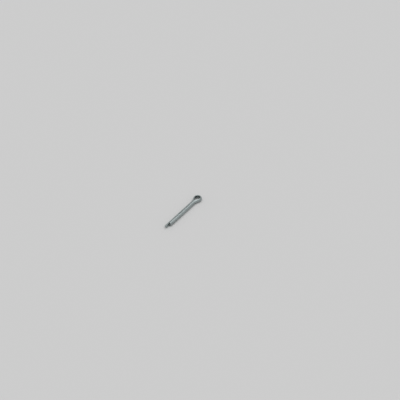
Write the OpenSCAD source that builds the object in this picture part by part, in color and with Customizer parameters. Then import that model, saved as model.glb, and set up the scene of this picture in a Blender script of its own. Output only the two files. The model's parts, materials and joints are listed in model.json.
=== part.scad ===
// Split cotter pin: half-round wire folded back on itself, so that two legs lie flat to
// flat as one round shank, and the fold opens into an eye.
// The pin lies on its side. The origin is on the shank's axis, where the legs part into
// the eye. +X runs along the legs to their tips, the longer leg is on the -Y side, and
// +Z is square to the flat of the eye.

/* [Shank] */
// Width across the two closed legs
shank_d = 2.85; // [2.4:0.05:3.1]
// Nominal length, from the seat under the eye to the end of the shorter leg
nominal_length = 28; // [10:1:63]
// How far the longer leg stands out past the shorter one
leg_overhang = 3.2; // [0.5:0.1:5]
// How far the cut ends lean out of square, the shorter leg's back at the top and the
// longer leg's back at the underside, as the two ends of one sheared blank do
cut_slant = 14; // [0:1:20]
// Slot between the flat faces of the closed legs
leg_gap = 0.16; // [0.06:0.01:0.3]
// Diameter of the hole that the pin is made for, whose rim the neck seats on
hole_d = 3.2; // [3.1:0.1:4]

/* [Eye] */
// Width across the eye, outside
eye_w = 5.8; // [5.2:0.1:6.4]
// From where the legs part to the eye's outer end
eye_reach = 7.8; // [7.4:0.1:10]
// Radius of the bend that opens each leg into the eye, out to the pin's axis
neck_r = 2.6; // [2:0.1:3.3]

/* [Wire] */
// Rounding of the two edges of the wire's flat face
edge_r = 0.15; // [0.05:0.01:0.25]
// How much the wire swells all round where it is bent
bend_swell = 0.01; // [0.005:0.005:0.02]

/* [Hidden] */
$fn = 96;
shank_r = shank_d / 2;

// The eye's arc, through the centre of the wire's round side, and its place on the axis
eye_r = eye_w / 2 - shank_r - bend_swell;
eye_x = eye_w / 2 - eye_reach;

// A straight flank leaves the neck's bend and meets the eye's arc, tangent to both
neck_to_eye = norm([eye_x, neck_r]);
flank_l = sqrt(pow(neck_to_eye, 2) - pow(neck_r + eye_r, 2));
flank_slope = 90 - atan2(neck_r, -eye_x) - acos((neck_r + eye_r) / neck_to_eye);

// The hole's rim meets the outside of the wire on the neck's bend or past it, on the flank
rim_r = neck_r - shank_r;
rim_rise = hole_d / 2 - shank_r;
bend_rise = rim_r * (1 - cos(flank_slope));
seat_x = rim_rise < bend_rise
    ? -rim_r * sin(acos(1 - rim_rise / rim_r))
    : -rim_r * sin(flank_slope) - (rim_rise - bend_rise) / tan(flank_slope);
short_leg_l = nominal_length + seat_x;
long_leg_l = short_leg_l + leg_overhang;

// Each straight run laps into the bends at its ends, no further than their swell covers it
bend_lap = sqrt(bend_swell * min(rim_r, eye_r));

// Half-round section of the wire. Its round side faces +X, and the origin is the centre of
// the full round that two legs make.
module wire_section(swell = 0) {
    round_r = shank_r + swell;
    flat_x = leg_gap / 2 - swell;
    difference() {
        intersection() {
            circle(r = round_r);
            translate([flat_x, -2 * round_r])
                square(4 * round_r);
        }
        edge_waste(round_r, flat_x);
        mirror([0, 1])
            edge_waste(round_r, flat_x);
    }
}

// What the rounding takes off the flat's upper edge. Its arc leaves the flat square to it,
// and runs out into the round side where its own tangent is level.
module edge_waste(round_r, flat_x) {
    edge_x = flat_x + edge_r;
    edge_y = sqrt(pow(round_r, 2) - pow(edge_x, 2)) - edge_r;
    run_out = edge_r * edge_x / round_r;
    difference() {
        translate([flat_x - edge_r, edge_y])
            square([2 * edge_r + run_out, round_r]);
        translate([edge_x, edge_y])
            circle(r = edge_r);
    }
}

// Straight wire along +X from start to end, with its round side to +Y
module straight_wire(start, end) {
    translate([start, 0])
        rotate([90, 0, 90])
            linear_extrude(end - start)
                wire_section();
}

// Bent wire round the origin, swept on from the +X axis. It has its round side outwards,
// or inwards where inside is true.
module bent_wire(radius, turn, inside = false) {
    rotate_extrude(angle = turn)
        translate([radius, 0])
            mirror([inside ? 1 : 0, 0])
                wire_section(bend_swell);
}

// What the shear cuts off past a leg's end. The cut leans back towards the top, or towards
// the underside where slant is negative.
module end_waste(leg_l, slant) {
    translate([leg_l, 0, -sign(slant) * shank_r])
        rotate([0, -slant, 0])
            translate([0, -shank_d, -2 * shank_d])
                cube([2 * shank_d, 2 * shank_d, 4 * shank_d]);
}

// One side of the pin, with the leg, the neck's bend and the flank, on the +Y side
module side(leg_l, slant) {
    difference() {
        straight_wire(-bend_lap, leg_l + shank_r);
        end_waste(leg_l, slant);
    }
    translate([0, neck_r])
        rotate([0, 0, -90 - flank_slope])
            bent_wire(neck_r, flank_slope, inside = true);
    translate([eye_x, 0])
        rotate([0, 0, -flank_slope])
            translate([0, eye_r])
                straight_wire(-bend_lap, flank_l + bend_lap);
}

module cotter_pin() {
    color([0.72, 0.75, 0.75]) {
        side(short_leg_l, cut_slant);
        mirror([0, 1])
            side(long_leg_l, -cut_slant);
        translate([eye_x, 0])
            rotate([0, 0, 90 - flank_slope])
                bent_wire(eye_r, 180 + 2 * flank_slope);
    }
}

cotter_pin();
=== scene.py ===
"""A split cotter pin of bright zinc-plated half-round wire, lying on a plain pale floor."""

import json
import math

import bpy
import numpy as np
from mathutils import Matrix, Vector


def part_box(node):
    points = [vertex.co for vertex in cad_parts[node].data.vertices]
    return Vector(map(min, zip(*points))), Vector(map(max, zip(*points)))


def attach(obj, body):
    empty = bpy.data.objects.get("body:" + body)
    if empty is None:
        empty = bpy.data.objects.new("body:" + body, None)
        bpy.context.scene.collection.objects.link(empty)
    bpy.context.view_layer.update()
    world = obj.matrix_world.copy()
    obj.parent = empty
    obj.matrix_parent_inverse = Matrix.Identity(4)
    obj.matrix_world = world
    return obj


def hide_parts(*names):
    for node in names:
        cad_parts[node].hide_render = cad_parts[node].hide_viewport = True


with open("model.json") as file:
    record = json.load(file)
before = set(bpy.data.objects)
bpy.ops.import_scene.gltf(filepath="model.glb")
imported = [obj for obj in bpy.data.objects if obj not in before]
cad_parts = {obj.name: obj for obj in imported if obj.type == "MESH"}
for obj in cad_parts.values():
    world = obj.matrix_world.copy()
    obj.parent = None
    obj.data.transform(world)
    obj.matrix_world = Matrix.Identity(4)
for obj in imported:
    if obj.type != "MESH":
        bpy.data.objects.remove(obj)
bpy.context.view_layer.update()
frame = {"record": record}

bl_info = {
    "name": "Cotter Pin",
    "version": (1, 0, 0),
    "blender": (4, 5, 0),
    "location": "View3D > Sidebar > Cotter Pin",
    "description": "Folds a split cotter pin from half-round wire and sets it on a stage",
    "category": "Object",
}

MM = 0.001

# What the frame says of the pin: its box, and the shank as it is mounted
PIN_LOW, PIN_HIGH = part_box("cotter_pin")
SHANK = next(mount for mount in frame["record"]["mounts"] if mount["name"] == "shank")


class WireSizes(bpy.types.PropertyGroup):
    """Sizes of the folded wire."""

    shank_width: bpy.props.FloatProperty(
        name="Shank Width",
        description="Across the two closed legs",
        default=2 * SHANK["dims"]["r_mm"] * MM,
        min=0.0005,
        unit="LENGTH",
    )
    leg_gap: bpy.props.FloatProperty(
        name="Leg Slot",
        description="Slot between the flat faces of the closed legs",
        default=0.16 * MM,
        min=0.0,
        unit="LENGTH",
    )
    leg_overhang: bpy.props.FloatProperty(
        name="Leg Overhang",
        description="How far the longer leg stands out past the shorter one",
        default=3.2 * MM,
        min=0.0,
        unit="LENGTH",
    )
    leg_length: bpy.props.FloatProperty(
        name="Leg Length",
        description="From where the legs part to the longer leg's end",
        default=PIN_HIGH.x,
        min=0.005,
        unit="LENGTH",
    )
    eye_reach: bpy.props.FloatProperty(
        name="Eye Reach",
        description="From where the legs part to the eye's outer end",
        default=-PIN_LOW.x,
        min=0.005,
        unit="LENGTH",
    )
    eye_width: bpy.props.FloatProperty(
        name="Eye Width",
        description="Across the eye, outside",
        default=PIN_HIGH.y - PIN_LOW.y,
        min=0.001,
        unit="LENGTH",
    )
    neck_radius: bpy.props.FloatProperty(
        name="Neck Radius",
        description="Radius of the bend that opens each leg into the eye",
        default=2.6 * MM,
        min=0.0005,
        unit="LENGTH",
    )
    eye_crown: bpy.props.FloatProperty(
        name="Inner Face Crowning",
        description="How far the edges of the wire's inner face draw back round the eye",
        default=0.43 * MM,
        min=0.0,
        unit="LENGTH",
    )
    edge_radius: bpy.props.FloatProperty(
        name="Edge Radius",
        description="Rounding of the two edges of the wire's flat face",
        default=0.15 * MM,
        min=0.00001,
        unit="LENGTH",
    )
    roll_over: bpy.props.FloatProperty(
        name="Roll-over",
        description="Rounding that the shear blade leaves where it enters a leg's end",
        default=0.16 * MM,
        min=0.00001,
        unit="LENGTH",
    )
    cut_slant: bpy.props.FloatProperty(
        name="Cut Slant",
        description="Lean of the cut ends: the shorter leg's back at the top, the longer leg's below",
        default=math.radians(14),
        subtype="ANGLE",
    )
    leg_bow: bpy.props.FloatProperty(
        name="Leg Bow",
        description="How far each closed leg bows outward halfway along",
        default=0.05 * MM,
        min=0.0,
        unit="LENGTH",
    )
    tip_closing: bpy.props.FloatProperty(
        name="Tip Closing",
        description="How far each leg leans in towards the other at its tip",
        default=0.024 * MM,
        min=0.0,
        unit="LENGTH",
    )
    waviness: bpy.props.FloatProperty(
        name="Waviness",
        description="How far the closed legs wander from dead straight",
        default=0.02 * MM,
        min=0.0,
        unit="LENGTH",
    )


class PinFinish(bpy.types.PropertyGroup):
    """Colours and gloss of the plated wire."""

    zinc: bpy.props.FloatVectorProperty(
        name="Zinc",
        description="Colour of the bright zinc plate",
        subtype="COLOR",
        size=3,
        default=(0.368, 0.414, 0.414),
        min=0.0,
        max=1.0,
    )
    zinc_cloud: bpy.props.FloatVectorProperty(
        name="Zinc Cloud",
        description="Colour of the duller clouds in the plate",
        subtype="COLOR",
        size=3,
        default=(0.331, 0.373, 0.375),
        min=0.0,
        max=1.0,
    )
    sheared: bpy.props.FloatVectorProperty(
        name="Sheared Steel",
        description="Colour of the torn part of the legs' cut ends",
        subtype="COLOR",
        size=3,
        default=(0.48, 0.52, 0.52),
        min=0.0,
        max=1.0,
    )
    roughness: bpy.props.FloatProperty(
        name="Roughness",
        description="Roughness of the plated wire",
        default=0.40,
        min=0.0,
        max=1.0,
        subtype="FACTOR",
    )
    eye_roughness: bpy.props.FloatProperty(
        name="Eye Roughness",
        description="Roughness inside the eye, where nothing scuffs the plate",
        default=0.20,
        min=0.0,
        max=1.0,
        subtype="FACTOR",
    )
    # Painted shade: darkens the flat face inside the eye for the hollow's shade, and stands for its
    # duller plate too
    eye_painted_shade: bpy.props.FloatProperty(
        name="Eye Shade",
        description="How much duller the plate is inside the eye, where nothing polishes it",
        default=0.23,
        min=0.0,
        max=1.0,
        subtype="FACTOR",
    )
    # Painted shade on the shorter leg's cut end, which sits in the corner by the longer leg's flat
    # face
    end_painted_shade: bpy.props.FloatProperty(
        name="End Shade",
        description="How much darker the shorter leg's cut end is than the longer one's",
        default=0.39,
        min=0.0,
        max=1.0,
        subtype="FACTOR",
    )


class StageLook(bpy.types.PropertyGroup):
    """Floor, light and camera."""

    floor: bpy.props.FloatVectorProperty(
        name="Floor",
        description="Colour of the floor",
        subtype="COLOR",
        size=3,
        default=(0.604, 0.604, 0.604),
        min=0.0,
        max=1.0,
    )
    dome: bpy.props.FloatProperty(
        name="Dome",
        description="Brightness of the light that comes evenly from all round",
        default=0.5305,
        min=0.0,
    )
    lamp_strength: bpy.props.FloatProperty(
        name="Lamp Strength",
        description="Strength of the soft lamp overhead",
        default=1.497,
        min=0.0,
    )
    lamp_angle: bpy.props.FloatProperty(
        name="Lamp Angle",
        description="Angle that the soft lamp fills, as seen from the pin",
        default=math.radians(76),
        subtype="ANGLE",
    )
    lamp_right: bpy.props.FloatProperty(
        name="Lamp Right",
        description="How far the lamp leans to the camera's right, as a share of its height",
        default=0.078,
    )
    lamp_away: bpy.props.FloatProperty(
        name="Lamp Away",
        description="How far the lamp leans away from the camera, as a share of its height",
        default=-0.042,
    )
    camera_turn: bpy.props.FloatProperty(
        name="Camera Turn",
        description="Way the camera stands round the pin, from the -Y side towards +X",
        default=math.radians(125.9),
        subtype="ANGLE",
    )
    camera_height: bpy.props.FloatProperty(
        name="Camera Height",
        description="Angle of the camera above the floor",
        default=math.radians(41.5),
        subtype="ANGLE",
    )
    view_width: bpy.props.FloatProperty(
        name="View Width",
        description="Width that the camera sees at the pin",
        default=0.2677,
        min=0.01,
        unit="LENGTH",
    )
    aim_right: bpy.props.FloatProperty(
        name="Aim Right",
        description="How far the camera aims to the right of the pin's middle",
        default=0.01114,
        unit="LENGTH",
    )
    aim_up: bpy.props.FloatProperty(
        name="Aim Up",
        description="How far the camera aims above the pin's middle",
        default=0.00773,
        unit="LENGTH",
    )
    lens: bpy.props.FloatProperty(
        name="Lens",
        description="Focal length, in millimetres",
        default=100.0,
        min=1.0,
    )


# ---------------------------------------------------------------- the wire's shape

# How finely the mesh is divided: round the section, along the wire, and at the cut ends
ROUND_STEPS = 44
EDGE_STEPS = 7
FLAT_STEPS = 16
LEG_STEP = 0.14 * MM
BEND_STEP = 0.07 * MM
END_STEPS = 10
FACE_RINGS = 9

# What bending does to the section: all of it in the eye, and less and reversed in the neck
EYE_BEND = 1.0
NECK_BEND = -0.4
BEND_EASE = 0.35 * MM
INNER_BULGE = 0.035 * MM
INNER_SPREAD = 0.008
OUTER_FLATTENING = 0.03 * MM

# How uneven the wire's surface is, and how soon past the neck the legs start to wander
UNEVENNESS = 0.0025 * MM
UNEVEN_WAVE = 2.3 * MM
UNEVEN_SKEW_OUT = 2
UNEVEN_SKEW_UP = 3
WANDER_WAVE = 19 * MM
WANDER_START = 2 * MM
WANDER_FULL = 9 * MM

# What the shear does to the cut ends. It enters at the round side, and the steel tears past
# a share of the way in from there.
SLANT_REACH = 3 * MM
FLAT_ROLL_SHARE = 0.3
ROLL_REACH = 1.2
SHORT_TEAR = 0.22
LONG_TEAR = 0.45
TEAR_BLUR = 0.06
TEAR_WANDER = 0.04
TEAR_WAVE = 1.1 * MM
TEAR_DEPTH = 0.035 * MM
GRAIN_DEPTH = 0.012 * MM
GRAIN_WAVE_OUT = 0.31 * MM
GRAIN_WAVE_UP = 0.27 * MM
RIM_SHARE = 0.25

# The waves that make up an uneven line: each one's share, how much quicker it is than the
# first, and how far a seed shifts it
WAVES = ((0.5, 1.0, 2.4), (0.3, 2.236, 4.1), (0.2, 4.708, 5.8))


def smoothstep(low, high, value):
    """0 at low, 1 at high, and an even S between them, whichever is the greater."""
    part = np.clip((value - low) / (high - low), 0.0, 1.0)
    return part * part * (3 - 2 * part)


def wander(place, wavelength, seed):
    """A smooth uneven line over places, between -1 and 1."""
    turn = 2 * math.pi * place / wavelength
    return sum(share * np.sin(quicker * turn + shift * seed) for share, quicker, shift in WAVES)


def arc(centre, radius, start, end, steps):
    """Points along an arc, without its last one, and each point's outward direction."""
    angles = start + (end - start) * np.arange(steps) / steps
    outward = np.column_stack([np.cos(angles), np.sin(angles)])
    return np.array(centre) + radius * outward, outward


def half_round(sizes):
    """Outline of the half-round wire: its points as (out, up) from the middle of the full
    round that two legs make, and each point's outward direction. It starts halfway along
    the round side and goes round over the top edge."""
    radius = sizes.shank_width / 2
    edge = sizes.edge_radius
    flat = sizes.leg_gap / 2
    edge_out = flat + edge
    edge_up = math.sqrt((radius - edge) ** 2 - edge_out**2)
    corner = math.atan2(edge_up, edge_out)
    level = edge_up - 2 * edge_up * np.arange(FLAT_STEPS) / FLAT_STEPS
    flat_face = np.column_stack([np.full(FLAT_STEPS, flat), level])
    parts = (
        arc((0, 0), radius, 0, corner, ROUND_STEPS // 2),
        arc((edge_out, edge_up), edge, corner, math.pi, EDGE_STEPS),
        (flat_face, np.tile([-1.0, 0.0], (FLAT_STEPS, 1))),
        arc((edge_out, -edge_up), edge, math.pi, 2 * math.pi - corner, EDGE_STEPS),
        arc((0, 0), radius, -corner, 0, ROUND_STEPS // 2),
    )
    points, outward = zip(*parts)
    return np.vstack(points), np.vstack(outward)


class Fold:
    """The folded wire's line: the shorter leg, the neck's bend, a flank of the eye, its round
    end, and the same again back to the longer leg's tip. Each run is its length and its turn."""

    def __init__(self, sizes):
        eye_r = sizes.eye_width / 2 - sizes.shank_width / 2
        eye_x = sizes.eye_width / 2 - sizes.eye_reach
        neck_r = sizes.neck_radius
        reach = math.hypot(eye_x, neck_r)
        slope = math.pi / 2 - math.atan2(neck_r, -eye_x) - math.acos((neck_r + eye_r) / reach)
        self.long_leg = sizes.leg_length
        self.short_leg = self.long_leg - sizes.leg_overhang
        self.neck = neck_r * slope
        self.flank = math.sqrt(reach**2 - (neck_r + eye_r) ** 2)
        neck = (self.neck, -slope)
        flank = (self.flank, 0.0)
        eye = (eye_r * (math.pi + 2 * slope), math.pi + 2 * slope)
        self.runs = [(self.short_leg, 0.0), neck, flank, eye, flank, neck, (self.long_leg, 0.0)]
        self.length = sum(length for length, turn in self.runs)

    def line(self):
        """Rows of the distance along the wire, x, y and heading."""
        along, x, y, heading = 0.0, self.short_leg, 0.0, math.pi
        rows = [(along, x, y, heading)]
        for length, turn in self.runs:
            steps = math.ceil(length / (BEND_STEP if turn else LEG_STEP))
            for _ in range(steps):
                ahead = heading + turn / steps
                if turn:
                    x += length / turn * (math.sin(ahead) - math.sin(heading))
                    y -= length / turn * (math.cos(ahead) - math.cos(heading))
                else:
                    x += length / steps * math.cos(heading)
                    y += length / steps * math.sin(heading)
                heading = ahead
                along += length / steps
                rows.append((along, x, y, heading))
        return np.array(rows)

    def stations(self, tips):
        """The line's rows, with those near a cut end set at the tips' distances from it, and
        how hard the wire is bent, how far it is crowned, and how far off the cut end is."""
        line = self.line()
        first, last = line[0], line[-1]
        between = line[(line[:, 0] > tips[-1]) & (line[:, 0] < self.length - tips[-1])]
        short_tip = [(tip, first[1] - tip, 0.0, first[3]) for tip in tips]
        long_tip = [(self.length - tip, last[1] - tip, 0.0, last[3]) for tip in reversed(tips)]
        rows = np.vstack([short_tip, between, long_tip])
        along = rows[:, 0]
        from_cut = np.minimum(along, self.length - along)
        return np.column_stack([rows, self.bent(along), self.crowned(along), from_cut])

    def bent(self, along):
        """How hard the wire is bent at each place, eased at each bend's ends."""
        bent = np.zeros_like(along)
        start = 0.0
        for length, turn in self.runs:
            end = start + length
            if turn:
                entered = smoothstep(start - BEND_EASE, start + BEND_EASE, along)
                left = smoothstep(end - BEND_EASE, end + BEND_EASE, along)
                bent += entered * (1 - left) * (EYE_BEND if turn > 0 else NECK_BEND)
            start = end
        return bent

    def crowned(self, along):
        """0 in the legs and necks, rising along each flank to 1 round the eye."""
        neck_end = self.short_leg + self.neck
        from_long_tip = self.length - along - (self.long_leg - self.short_leg)
        return np.clip((np.minimum(along, from_long_tip) - neck_end) / self.flank, 0.0, 1.0)


def crushed(section, bent, crowned, sizes):
    """The section where the wire is bent: the inside is squeezed wider and bulges, the
    outside is stretched flat, and round the eye the inner face is crowned."""
    radius = sizes.shank_width / 2
    flat = sizes.leg_gap / 2
    out, up = section[:, 0].copy(), section[:, 1].copy()
    depth = (out - flat) / (radius - flat)
    level = up / radius
    out -= bent * INNER_BULGE * (1 - depth) ** 2 * (1 - level**2)
    out -= bent * OUTER_FLATTENING * depth**6
    out += crowned * sizes.eye_crown * (1 - depth) * level**2
    up *= 1 + bent * INNER_SPREAD * (1 - depth)
    return np.column_stack([out, up])


def tip_places(sizes):
    """Distances from a cut end at which the wire gets a ring, closest together at the cut."""
    reach = ROLL_REACH * sizes.roll_over
    return [reach * (1 - math.cos(math.pi / 2 * step / END_STEPS)) for step in range(END_STEPS + 1)]


def tip_inset(from_cut, outward, sizes):
    """How far the outline draws in near a cut end: a wide roll-over on the round side, a
    crisp edge on the flat side."""
    round_share = 0.5 + 0.5 * outward[:, 0]
    roll = sizes.roll_over * (FLAT_ROLL_SHARE + (1 - FLAT_ROLL_SHARE) * round_share)
    left = np.clip(roll - from_cut, 0, None)
    return roll - np.sqrt(np.clip(roll**2 - left**2, 0, None))


def leg_offset(along, x, leg, sizes):
    """How far out of line a leg is at a place: it wanders, bows outward, and closes in towards
    its tip."""
    wandering = smoothstep(WANDER_START, WANDER_FULL, x) * wander(along, WANDER_WAVE, seed=1.3)
    share = min(max(x / leg, 0.0), 1.0)
    bowing = sizes.leg_bow * math.sin(math.pi * share)
    return sizes.waviness * wandering + bowing - sizes.tip_closing * share


def folded_ring(station, section, outward, fold, sizes):
    """The wire's section set on the folded line at a station."""
    along, x, y, heading, bent, crowned, from_cut = station
    shape = crushed(section, bent, crowned, sizes)
    skewed = along + UNEVEN_SKEW_UP * shape[:, 1] + UNEVEN_SKEW_OUT * shape[:, 0]
    dips = abs(UNEVENNESS * wander(skewed, UNEVEN_WAVE, seed=5))
    shape = shape - outward * (tip_inset(from_cut, outward, sizes) + dips)[:, None]
    is_short = along < fold.short_leg
    leg = fold.short_leg if is_short else fold.long_leg
    sideways = np.array([math.sin(heading), -math.cos(heading)])
    out = shape[:, 0] + leg_offset(along, x, leg, sizes)
    ring = np.column_stack([np.outer(out, sideways) + np.array([x, y]), shape[:, 1]])
    rise = section[:, 1].max() + (shape[:, 1] if is_short else -shape[:, 1])
    ring[:, 0] -= smoothstep(SLANT_REACH, 0.0, from_cut) * math.tan(sizes.cut_slant) * rise
    return ring


def cut_face(ring, place, tear, sizes):
    """Rings that close a cut end, and its middle point: a smooth sheared band next to the
    round side, then a torn part that lies a little deeper and is uneven."""
    centre = ring.mean(axis=0)
    middle = place.mean(axis=0)
    rings, places = [], []
    for step in range(1, FACE_RINGS):
        share = 1 - step / FACE_RINGS
        points = centre + (ring - centre) * share
        spot = middle + (place - middle) * share
        depth = 1 - spot[:, 1] / (sizes.shank_width / 2)
        depth = depth + TEAR_WANDER * wander(spot[:, 2], TEAR_WAVE, seed=3)
        torn = smoothstep(tear - TEAR_BLUR, tear + TEAR_BLUR, depth)
        grain = wander(spot[:, 1], GRAIN_WAVE_OUT, seed=2) * wander(spot[:, 2], GRAIN_WAVE_UP, seed=4)
        off_rim = smoothstep(0.0, RIM_SHARE, 1 - share)
        points[:, 0] -= off_rim * torn * (TEAR_DEPTH + GRAIN_DEPTH * grain)
        rings.append(points)
        places.append(spot)
    rings.append(rings[-1].mean(axis=0)[None])
    places.append(places[-1].mean(axis=0)[None])
    return rings, places


def band(low, high, around):
    """Faces between two rings of points, which start at low and high."""
    after = [(step + 1) % around for step in range(around)]
    return [(low + step, low + after[step], high + after[step], high + step) for step in range(around)]


def fan(edge, middle, around):
    """Faces from a ring of points, which starts at edge, to its middle point."""
    return [(edge + step, edge + (step + 1) % around, middle) for step in range(around)]


def closing_faces(edge, count, rings, around):
    """Faces from the ring of points that starts at edge, over the rings that start at count,
    to the point after them."""
    faces = []
    for _ in range(rings):
        faces += band(edge, count, around)
        edge = count
        count += around
    return faces + fan(edge, count, around)


def flipped(faces):
    """Faces that look the other way."""
    return [face[::-1] for face in faces]


def wire_mesh(sizes):
    """The mesh of the whole pin, with each point's place in the straight wire kept on it in
    millimetres: along, out and up."""
    section, outward = half_round(sizes)
    fold = Fold(sizes)
    stations = fold.stations(tip_places(sizes))
    rings = [folded_ring(station, section, outward, fold, sizes) for station in stations]
    around = len(section)
    places = [np.column_stack([np.full(around, station[0]), section]) for station in stations]
    points, spots = list(rings), list(places)
    faces = []
    for station in range(len(rings) - 1):
        faces += flipped(band(station * around, (station + 1) * around, around))
    side_faces = len(faces)

    for end, tear in ((0, SHORT_TEAR), (len(rings) - 1, LONG_TEAR)):
        count = sum(len(ring) for ring in points)
        face_rings, face_places = cut_face(rings[end], places[end], tear, sizes)
        closing = closing_faces(end * around, count, len(face_rings) - 1, around)
        faces += flipped(closing) if end else closing
        points += face_rings
        spots += face_places

    mesh = bpy.data.meshes.new("cotter_pin_wire")
    mesh.from_pydata(np.vstack(points).tolist(), [], faces)
    mesh.update()
    attribute = mesh.attributes.new("straight_wire", "FLOAT_VECTOR", "POINT")
    attribute.data.foreach_set("vector", (np.vstack(spots) / MM).astype(np.float32).ravel())
    material_index = np.zeros(len(faces), np.int32)
    material_index[side_faces:] = 1
    mesh.polygons.foreach_set("material_index", material_index)
    mesh.polygons.foreach_set("use_smooth", np.ones(len(faces), bool))
    return mesh


# ---------------------------------------------------------------- finishes

# Where a Mix node for colours has its sockets, whose names it shares with other kinds
MIX_FACTOR = 0
MIX_FIRST = 6
MIX_SECOND = 7
MIX_RESULT = 2

# The painted shade and glossier plate inside the eye: how far out of the flat face they fade, from and
# to in edge radii, and how far along the wire they take to start, in millimetres
FLAT_FADE_START = 0.1
FLAT_FADE_END = 0.5
EYE_FADE = 1.5

# The polished line along an edge: how far it blurs below and above the edge's own place in
# millimetres, and how far out of the flat face it reaches in edge radii
EDGE_BLUR_BELOW = 0.05
EDGE_BLUR_ABOVE = 0.1
EDGE_LINE_REACH = 2.4

# The levels of noise at which a cloud, a scuffed patch and a scratch start to show and are at
# their full, how drawn out a scratch is, and how much of it shows away from scuffed patches
CLOUD_FAINT = 0.40
CLOUD_FULL = 0.66
SCUFF_FAINT = 0.5
SCUFF_FULL = 0.6
SCRATCH_FAINT = 0.66
SCRATCH_FULL = 0.74
SCRATCH_ALONG = 0.35
UNSCUFFED_SHARE = 0.25

# The middle of a noise, taken off so that its marks are even on the whole
NOISE_MIDDLE = 0.5

# How far past the drawn share of the cells their nicks still show faintly
NICK_DRAW_BLUR = 0.01

# Cut ends: the sheared band's gloss, and how blurred and ragged the line is where it tears
CUT_METALLIC = 0.7
CUT_ROUGHNESS = 0.45
TEAR_SOFTNESS = 0.05
TEAR_RAGGED = 0.16


class Channel:
    """A shader socket that takes part in sums: an expression on it adds its Math nodes."""

    def __init__(self, finish, socket):
        self.finish = finish
        self.socket = socket

    def beside(self, output):
        """Another output of the same node."""
        return Channel(self.finish, self.socket.node.outputs[output])

    def maths(self, operation, *values):
        """The result of a Math node that works on values."""
        return self.finish.node("ShaderNodeMath", {"operation": operation}, dict(enumerate(values)))

    def __add__(self, other):
        return self.maths("ADD", self, other)

    __radd__ = __add__

    def __sub__(self, other):
        return self.maths("SUBTRACT", self, other)

    def __rsub__(self, other):
        return self.maths("SUBTRACT", other, self)

    def __mul__(self, other):
        return self.maths("MULTIPLY", self, other)

    __rmul__ = __mul__

    def __abs__(self):
        return self.maths("ABSOLUTE", self)

    def ease(self, low, high):
        """0 at low, 1 at high, and an even S between them, whichever is the greater."""
        inputs = {"Value": self, "From Min": low, "From Max": high}
        return self.finish.node("ShaderNodeMapRange", {"interpolation_type": "SMOOTHSTEP"}, inputs)


class Finish:
    """The nodes of a material or a world, and the shader that they feed."""

    def __init__(self, owner, shader="Principled BSDF"):
        owner.use_nodes = True
        self.tree = owner.node_tree
        self.shader = self.tree.nodes[shader]

    def node(self, kind, settings=None, inputs=None, output=0):
        """Adds a node of a kind. Its settings are set first, then its sockets get their
        values or links."""
        made = self.tree.nodes.new(kind)
        for name, value in (settings or {}).items():
            setattr(made, name, value)
        for name, value in (inputs or {}).items():
            self.feed(made.inputs[name], value)
        return Channel(self, made.outputs[output])

    def feed(self, socket, value):
        """Gives a socket a number, a colour or a link."""
        if isinstance(value, Channel):
            self.tree.links.new(value.socket, socket)
        elif socket.type == "RGBA" and len(value) == 3:
            socket.default_value = (*value, 1.0)
        else:
            socket.default_value = value

    def put(self, **inputs):
        """Feeds the shader's own sockets, with spaces in their names written as underscores."""
        for name, value in inputs.items():
            self.feed(self.shader.inputs[name.replace("_", " ")], value)

    def split(self, vector):
        """The three parts of a vector."""
        first = self.node("ShaderNodeSeparateXYZ", {}, {0: vector})
        return first, first.beside(1), first.beside(2)

    def mix(self, factor, first, second, blend="MIX"):
        """A colour between two, or their blend."""
        settings = {"data_type": "RGBA", "blend_type": blend}
        inputs = {MIX_FACTOR: factor, MIX_FIRST: first, MIX_SECOND: second}
        return self.node("ShaderNodeMix", settings, inputs, output=MIX_RESULT)


class Metal(Finish):
    """The wire's metal in the making. Its marks add up to its tone, roughness and height."""

    def __init__(self, material, roughness):
        super().__init__(material)
        settings = {"attribute_name": "straight_wire"}
        self.place = self.node("ShaderNodeAttribute", settings, output="Vector")
        self.tone = 1.0
        self.roughness = roughness
        self.height = 0.0

    def noise(self, per_mm, detail=2.0, roughness=0.5, angles=(0.0, 0.0, 0.0)):
        """Noise from 0 to 1 over the straight wire, with so many lumps to the millimetre
        along it, outward and upward."""
        inputs = {"Vector": self.place, "Rotation": angles, "Scale": per_mm}
        scaled = self.node("ShaderNodeMapping", {}, inputs)
        inputs = {"Vector": scaled, "Scale": 1.0, "Detail": detail, "Roughness": roughness}
        return self.node("ShaderNodeTexNoise", {"noise_dimensions": "3D"}, inputs)

    def nicks(self, spacing, share, width):
        """Small round dents from tumbling in the plating barrel, sized in millimetres: 1 in a
        dent's middle, 0 outside. Only a share of the cells has one."""
        settings = {"feature": "F1", "voronoi_dimensions": "3D"}
        inputs = {"Vector": self.place, "Scale": 1 / spacing, "Randomness": 1.0}
        distance = self.node("ShaderNodeTexVoronoi", settings, inputs, output="Distance")
        draw = self.split(distance.beside("Color"))[0]
        return distance.ease(width / spacing, 0.0) * draw.ease(share + NICK_DRAW_BLUR, share)

    def scratches(self, angles, fineness):
        """Fine scratches that run one way over the wire."""
        lines = self.noise((SCRATCH_ALONG, fineness, fineness), detail=1.0, angles=angles)
        return lines.ease(SCRATCH_FAINT, SCRATCH_FULL)

    def mark(self, mask, tone=0.0, roughness=0.0, height=0.0):
        """Lightens, roughens and raises the metal where a mask is 1, the last in millimetres."""
        if tone:
            self.tone = self.tone + tone * mask
        if roughness:
            self.roughness = self.roughness + roughness * mask
        if height:
            self.height = self.height + height * mask

    def coat(self, colour, metallic):
        """Feeds the shader with a colour and all the marks."""
        inputs = {0: self.tone, 1: self.tone, 2: self.tone}
        tone = self.node("ShaderNodeCombineXYZ", {}, inputs)
        colour = self.mix(1.0, colour, tone, blend="MULTIPLY")
        bump = self.node("ShaderNodeBump", {}, {"Distance": MM, "Height": self.height})
        self.put(Base_Color=colour, Metallic=metallic, Roughness=self.roughness, Normal=bump)


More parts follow.
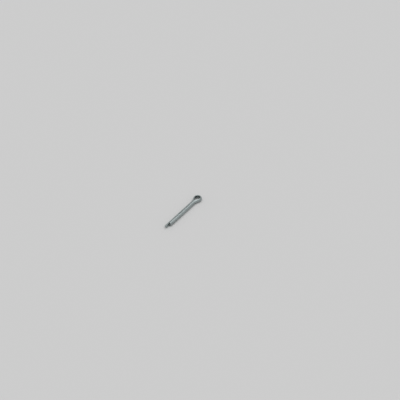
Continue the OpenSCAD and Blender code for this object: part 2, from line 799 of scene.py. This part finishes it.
def edge_lines(out, up, sizes):
    """1 along the two edges of the wire's flat face, where handling polishes them."""
    flat = sizes.leg_gap / 2 / MM
    edge = sizes.edge_radius / MM
    edge_up = math.sqrt((sizes.shank_width / 2 / MM) ** 2 - (flat + edge) ** 2) - edge
    near_edge = abs(up).ease(edge_up - EDGE_BLUR_BELOW, edge_up + EDGE_BLUR_ABOVE)
    return near_edge * out.ease(flat + EDGE_LINE_REACH * edge, flat + edge)


def eye_inside(along, out, sizes):
    """1 on the wire's flat face inside the eye, 0 in the legs."""
    fold = Fold(sizes)
    flat = sizes.leg_gap / 2 / MM
    edge = sizes.edge_radius / MM
    flat_face = out.ease(flat + FLAT_FADE_END * edge, flat + FLAT_FADE_START * edge)
    from_long_tip = fold.length / MM - along
    past_short = along.ease(fold.short_leg / MM, fold.short_leg / MM + EYE_FADE)
    past_long = from_long_tip.ease(fold.long_leg / MM, fold.long_leg / MM + EYE_FADE)
    return flat_face * past_short * past_long


def zinc_plate(look, sizes):
    """Bright zinc on drawn wire: lengthwise draw lines, cloudy plate, nicks, hair scratches,
    polished edges, and painted shade on a glossier plate inside the eye."""
    material = bpy.data.materials.new("zinc_plate")
    metal = Metal(material, look.roughness)
    along, out, up = metal.split(metal.place)

    draw_lines = metal.noise(per_mm=(0.07, 6.0, 6.0), detail=3.0)
    fine_lines = metal.noise(per_mm=(0.4, 24.0, 24.0))
    grain = metal.noise(per_mm=(11.0, 11.0, 11.0), detail=3.0, roughness=0.6)
    clouds = metal.noise(per_mm=(0.35, 1.1, 1.1), detail=3.0, roughness=0.55)
    dull = clouds.ease(CLOUD_FAINT, CLOUD_FULL)
    nicks = metal.nicks(spacing=1.5, share=0.4, width=0.17)
    nicks = nicks + metal.nicks(spacing=0.7, share=0.3, width=0.08)
    scuffs = metal.noise(per_mm=(0.55, 0.55, 0.55)).ease(SCUFF_FAINT, SCUFF_FULL)
    scratches = metal.scratches(angles=(0.3, 0.5, 0.9), fineness=22.0)
    scratches = scratches + metal.scratches(angles=(1.1, -0.4, 2.2), fineness=18.0)
    scratches = scratches * (UNSCUFFED_SHARE + (1 - UNSCUFFED_SHARE) * scuffs)

    metal.mark(draw_lines - NOISE_MIDDLE, tone=0.30, height=0.012)
    metal.mark(fine_lines - NOISE_MIDDLE, roughness=0.14, height=0.002)
    metal.mark(grain - NOISE_MIDDLE, tone=0.08, roughness=0.08, height=0.0012)
    metal.mark(clouds, height=0.006)
    metal.mark(dull, roughness=0.05)
    metal.mark(nicks, tone=-0.12, height=-0.016)
    metal.mark(scuffs, roughness=0.05)
    metal.mark(scratches, tone=0.10, height=-0.0014)
    metal.mark(edge_lines(out, up, sizes), tone=0.10, roughness=-0.08)
    # Painted shade darkens the flat face inside the eye, where the plate is also glossier
    glossier = look.eye_roughness - look.roughness
    metal.mark(eye_inside(along, out, sizes), tone=-look.eye_painted_shade, roughness=glossier)
    metal.coat(metal.mix(dull, look.zinc, look.zinc_cloud), metallic=1.0)
    return material


def sheared_end(look, sizes):
    """A leg's cut end: a burnished band with lines along the cut beside the round side, then
    torn steel, all of it thinly plated. The shorter leg's end is darkened with painted shade."""
    material = bpy.data.materials.new("sheared_end")
    metal = Metal(material, CUT_ROUGHNESS)
    along, out = metal.split(metal.place)[:2]

    long_end = along.ease(0.0, Fold(sizes).length / MM)
    tear = SHORT_TEAR + (LONG_TEAR - SHORT_TEAR) * long_end
    ragged = TEAR_RAGGED * (metal.noise(per_mm=(2.2, 2.2, 2.2), detail=3.0) - NOISE_MIDDLE)
    depth = 1 - out * (2 * MM / sizes.shank_width)
    torn = (depth + ragged - tear).ease(-TEAR_SOFTNESS, TEAR_SOFTNESS)
    sheared = 1 - torn
    cut_lines = metal.noise(per_mm=(1.0, 1.2, 16.0))
    crumbs = metal.noise(per_mm=(7.0, 7.0, 7.0), detail=4.0, roughness=0.65)

    metal.mark(torn, roughness=0.22)
    metal.mark(crumbs * torn, height=0.05)
    metal.mark((crumbs - NOISE_MIDDLE) * torn, tone=0.3)
    metal.mark(cut_lines * sheared, height=0.008)
    metal.mark((cut_lines - NOISE_MIDDLE) * sheared, tone=0.2)
    # Painted shade darkens the shorter leg's cut end, in the corner by the longer leg's flat face
    metal.tone = metal.tone * (1 - look.end_painted_shade * (1 - long_end))
    metal.coat(metal.mix(torn, look.zinc, look.sheared), CUT_METALLIC)
    return material


def floor_paint(look):
    """Plain matt floor."""
    material = bpy.data.materials.new("floor_paint")
    Finish(material).put(Base_Color=look.floor, Roughness=1.0, Specular_IOR_Level=0.0)
    return material


# ---------------------------------------------------------------- floor, light and camera

# Half the floor's width in metres, the width in millimetres that the lens's focal length
# goes with, and the nearest that the camera sees in metres
FLOOR_HALF = 20.0
SENSOR_WIDTH = 36.0
NEAREST_SEEN = 0.01


def lay_floor(scene, look):
    """A wide flat floor just under the pin."""
    level = PIN_LOW.z
    corners = [
        (-FLOOR_HALF, -FLOOR_HALF, level),
        (FLOOR_HALF, -FLOOR_HALF, level),
        (FLOOR_HALF, FLOOR_HALF, level),
        (-FLOOR_HALF, FLOOR_HALF, level),
    ]
    mesh = bpy.data.meshes.new("floor")
    mesh.from_pydata(corners, [], [(0, 1, 2, 3)])
    mesh.materials.append(floor_paint(look))
    floor = bpy.data.objects.new("floor", mesh)
    scene.collection.objects.link(floor)


def light_dome(scene, look):
    """Even light from all round. What the camera and the plate see of it is as pale as the
    floor, so the floor has no edge."""
    scene.world = bpy.data.worlds.new("studio")
    dome = Finish(scene.world, "Background")
    camera = dome.node("ShaderNodeLightPath", output="Is Camera Ray")
    seen = camera + camera.beside("Is Glossy Ray") + camera.beside("Is Transmission Ray")
    dome.put(Color=dome.mix(seen, (look.dome, look.dome, look.dome), look.floor))


def camera_axes(look):
    """The camera's right, up and back directions."""
    turn, height = look.camera_turn, look.camera_height
    level = Vector((math.sin(turn), -math.cos(turn), 0))
    back = level * math.cos(height) + Vector((0, 0, math.sin(height)))
    right = Vector((0, 0, 1)).cross(level)
    return right, back.cross(right), back


def hang_lamp(scene, look, right, back):
    """One broad soft lamp nearly overhead, a little to the camera's right."""
    away = -Vector((back.x, back.y, 0)).normalized()
    direction = (Vector((0, 0, 1)) + look.lamp_right * right + look.lamp_away * away).normalized()
    lamp = bpy.data.lights.new("soft_lamp", "SUN")
    lamp.energy = look.lamp_strength
    lamp.angle = look.lamp_angle
    holder = bpy.data.objects.new("soft_lamp", lamp)
    holder.rotation_euler = direction.to_track_quat("Z", "Y").to_euler()
    scene.collection.objects.link(holder)


def place_camera(scene, look, right, up, back):
    """The camera looks down on the pin from beyond its tips, with the pin left of the middle
    and below it."""
    lens = bpy.data.cameras.new("camera")
    lens.lens = look.lens
    lens.sensor_width = SENSOR_WIDTH
    lens.clip_start = NEAREST_SEEN
    camera = bpy.data.objects.new("camera", lens)
    middle = Vector(((PIN_LOW.x + PIN_HIGH.x) / 2, 0, 0))
    aim = middle + right * look.aim_right + up * look.aim_up
    distance = look.view_width * look.lens / SENSOR_WIDTH
    turned = Matrix((right, up, back)).transposed().to_4x4()
    camera.matrix_world = Matrix.Translation(aim + back * distance) @ turned
    scene.collection.objects.link(camera)
    scene.camera = camera


# ---------------------------------------------------------------- the operators


class COTTERPIN_OT_fold_pin(bpy.types.Operator):
    """Fold the wire into a cotter pin and plate it"""

    bl_idname = "cotterpin.fold_pin"
    bl_label = "Fold Cotter Pin"

    def execute(self, context):
        sizes = context.scene.cotter_pin_sizes
        look = context.scene.cotter_pin_finish
        mesh = wire_mesh(sizes)
        mesh.materials.append(zinc_plate(look, sizes))
        mesh.materials.append(sheared_end(look, sizes))
        pin = bpy.data.objects.new("cotter_pin_wire", mesh)
        context.scene.collection.objects.link(pin)
        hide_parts("cotter_pin")
        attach(pin, "root")
        return {"FINISHED"}


class COTTERPIN_OT_set_stage(bpy.types.Operator):
    """Lay the floor, hang the lamp and place the camera"""

    bl_idname = "cotterpin.set_stage"
    bl_label = "Set Stage"

    def execute(self, context):
        scene = context.scene
        look = scene.cotter_pin_stage
        lay_floor(scene, look)
        light_dome(scene, look)
        right, up, back = camera_axes(look)
        hang_lamp(scene, look, right, back)
        place_camera(scene, look, right, up, back)
        scene.view_settings.view_transform = "Standard"
        return {"FINISHED"}


class COTTERPIN_PT_tools(bpy.types.Panel):
    """The pin's tools in the sidebar"""

    bl_label = "Cotter Pin"
    bl_idname = "COTTERPIN_PT_tools"
    bl_space_type = "VIEW_3D"
    bl_region_type = "UI"
    bl_category = "Cotter Pin"

    def draw(self, context):
        layout = self.layout
        scene = context.scene
        for group in (scene.cotter_pin_sizes, scene.cotter_pin_finish, scene.cotter_pin_stage):
            box = layout.box()
            for name in group.__annotations__:
                box.prop(group, name)
        layout.operator(COTTERPIN_OT_fold_pin.bl_idname)
        layout.operator(COTTERPIN_OT_set_stage.bl_idname)


CLASSES = (
    WireSizes,
    PinFinish,
    StageLook,
    COTTERPIN_OT_fold_pin,
    COTTERPIN_OT_set_stage,
    COTTERPIN_PT_tools,
)


def register():
    """Registers the classes and gives every scene the sizes, the finish and the stage."""
    for item in CLASSES:
        bpy.utils.register_class(item)
    bpy.types.Scene.cotter_pin_sizes = bpy.props.PointerProperty(type=WireSizes)
    bpy.types.Scene.cotter_pin_finish = bpy.props.PointerProperty(type=PinFinish)
    bpy.types.Scene.cotter_pin_stage = bpy.props.PointerProperty(type=StageLook)


def unregister():
    """Takes back what register did."""
    del bpy.types.Scene.cotter_pin_stage
    del bpy.types.Scene.cotter_pin_finish
    del bpy.types.Scene.cotter_pin_sizes
    for item in reversed(CLASSES):
        bpy.utils.unregister_class(item)


def main():
    """Makes the pin and its stage."""
    register()
    bpy.ops.cotterpin.fold_pin()
    bpy.ops.cotterpin.set_stage()


if __name__ == "__main__":
    main()
